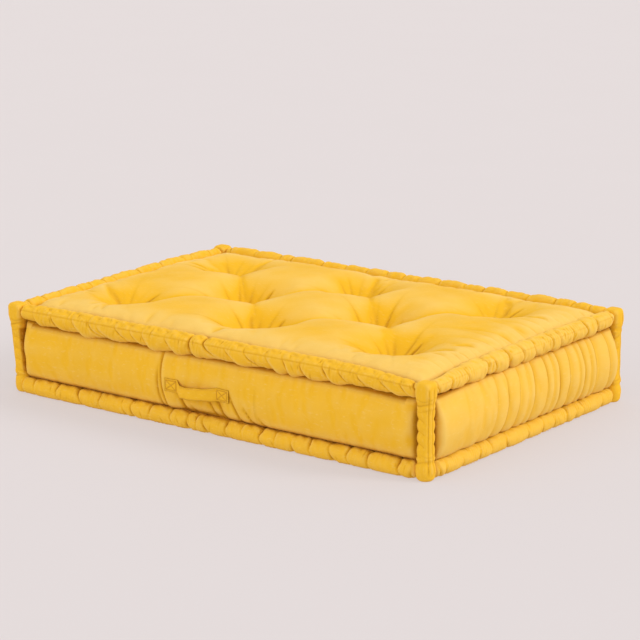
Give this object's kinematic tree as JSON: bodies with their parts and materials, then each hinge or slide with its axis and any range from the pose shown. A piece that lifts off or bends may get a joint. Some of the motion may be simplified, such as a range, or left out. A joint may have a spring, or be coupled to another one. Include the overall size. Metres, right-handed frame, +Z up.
{
  "type": "mattress style floor pouf",
  "caption": "Low rectangular floor pouf like a small mattress: tufted filled cloth block, stitched rolls along all its edges and a cloth handle on the front.",
  "frame": {"origin": "on the floor plane under the middle of the pouf's length and width, on the flat of its base", "axes": "+X along the long side to the right as seen from the handle side, -Y towards the handle side, +Z up"},
  "size_m": [1.2, 0.808, 0.2289],
  "materials": {
    "cover_cloth": "matt mustard yellow cotton canvas, slightly slubbed",
    "strap_cloth": "the same canvas folded to a flat strap and edge stitched"
  },
  "bodies": {
    "root": {"filled_block": "cover_cloth", "top_roll_front": "cover_cloth", "top_roll_right": "cover_cloth", "top_roll_back": "cover_cloth", "top_roll_left": "cover_cloth", "bottom_roll_front": "cover_cloth", "bottom_roll_right": "cover_cloth", "bottom_roll_back": "cover_cloth", "bottom_roll_left": "cover_cloth", "corner_roll_left_front": "cover_cloth", "corner_roll_right_front": "cover_cloth", "corner_roll_right_back": "cover_cloth", "corner_roll_left_back": "cover_cloth", "handle_strap": "strap_cloth"}
  },
  "joints": []
}
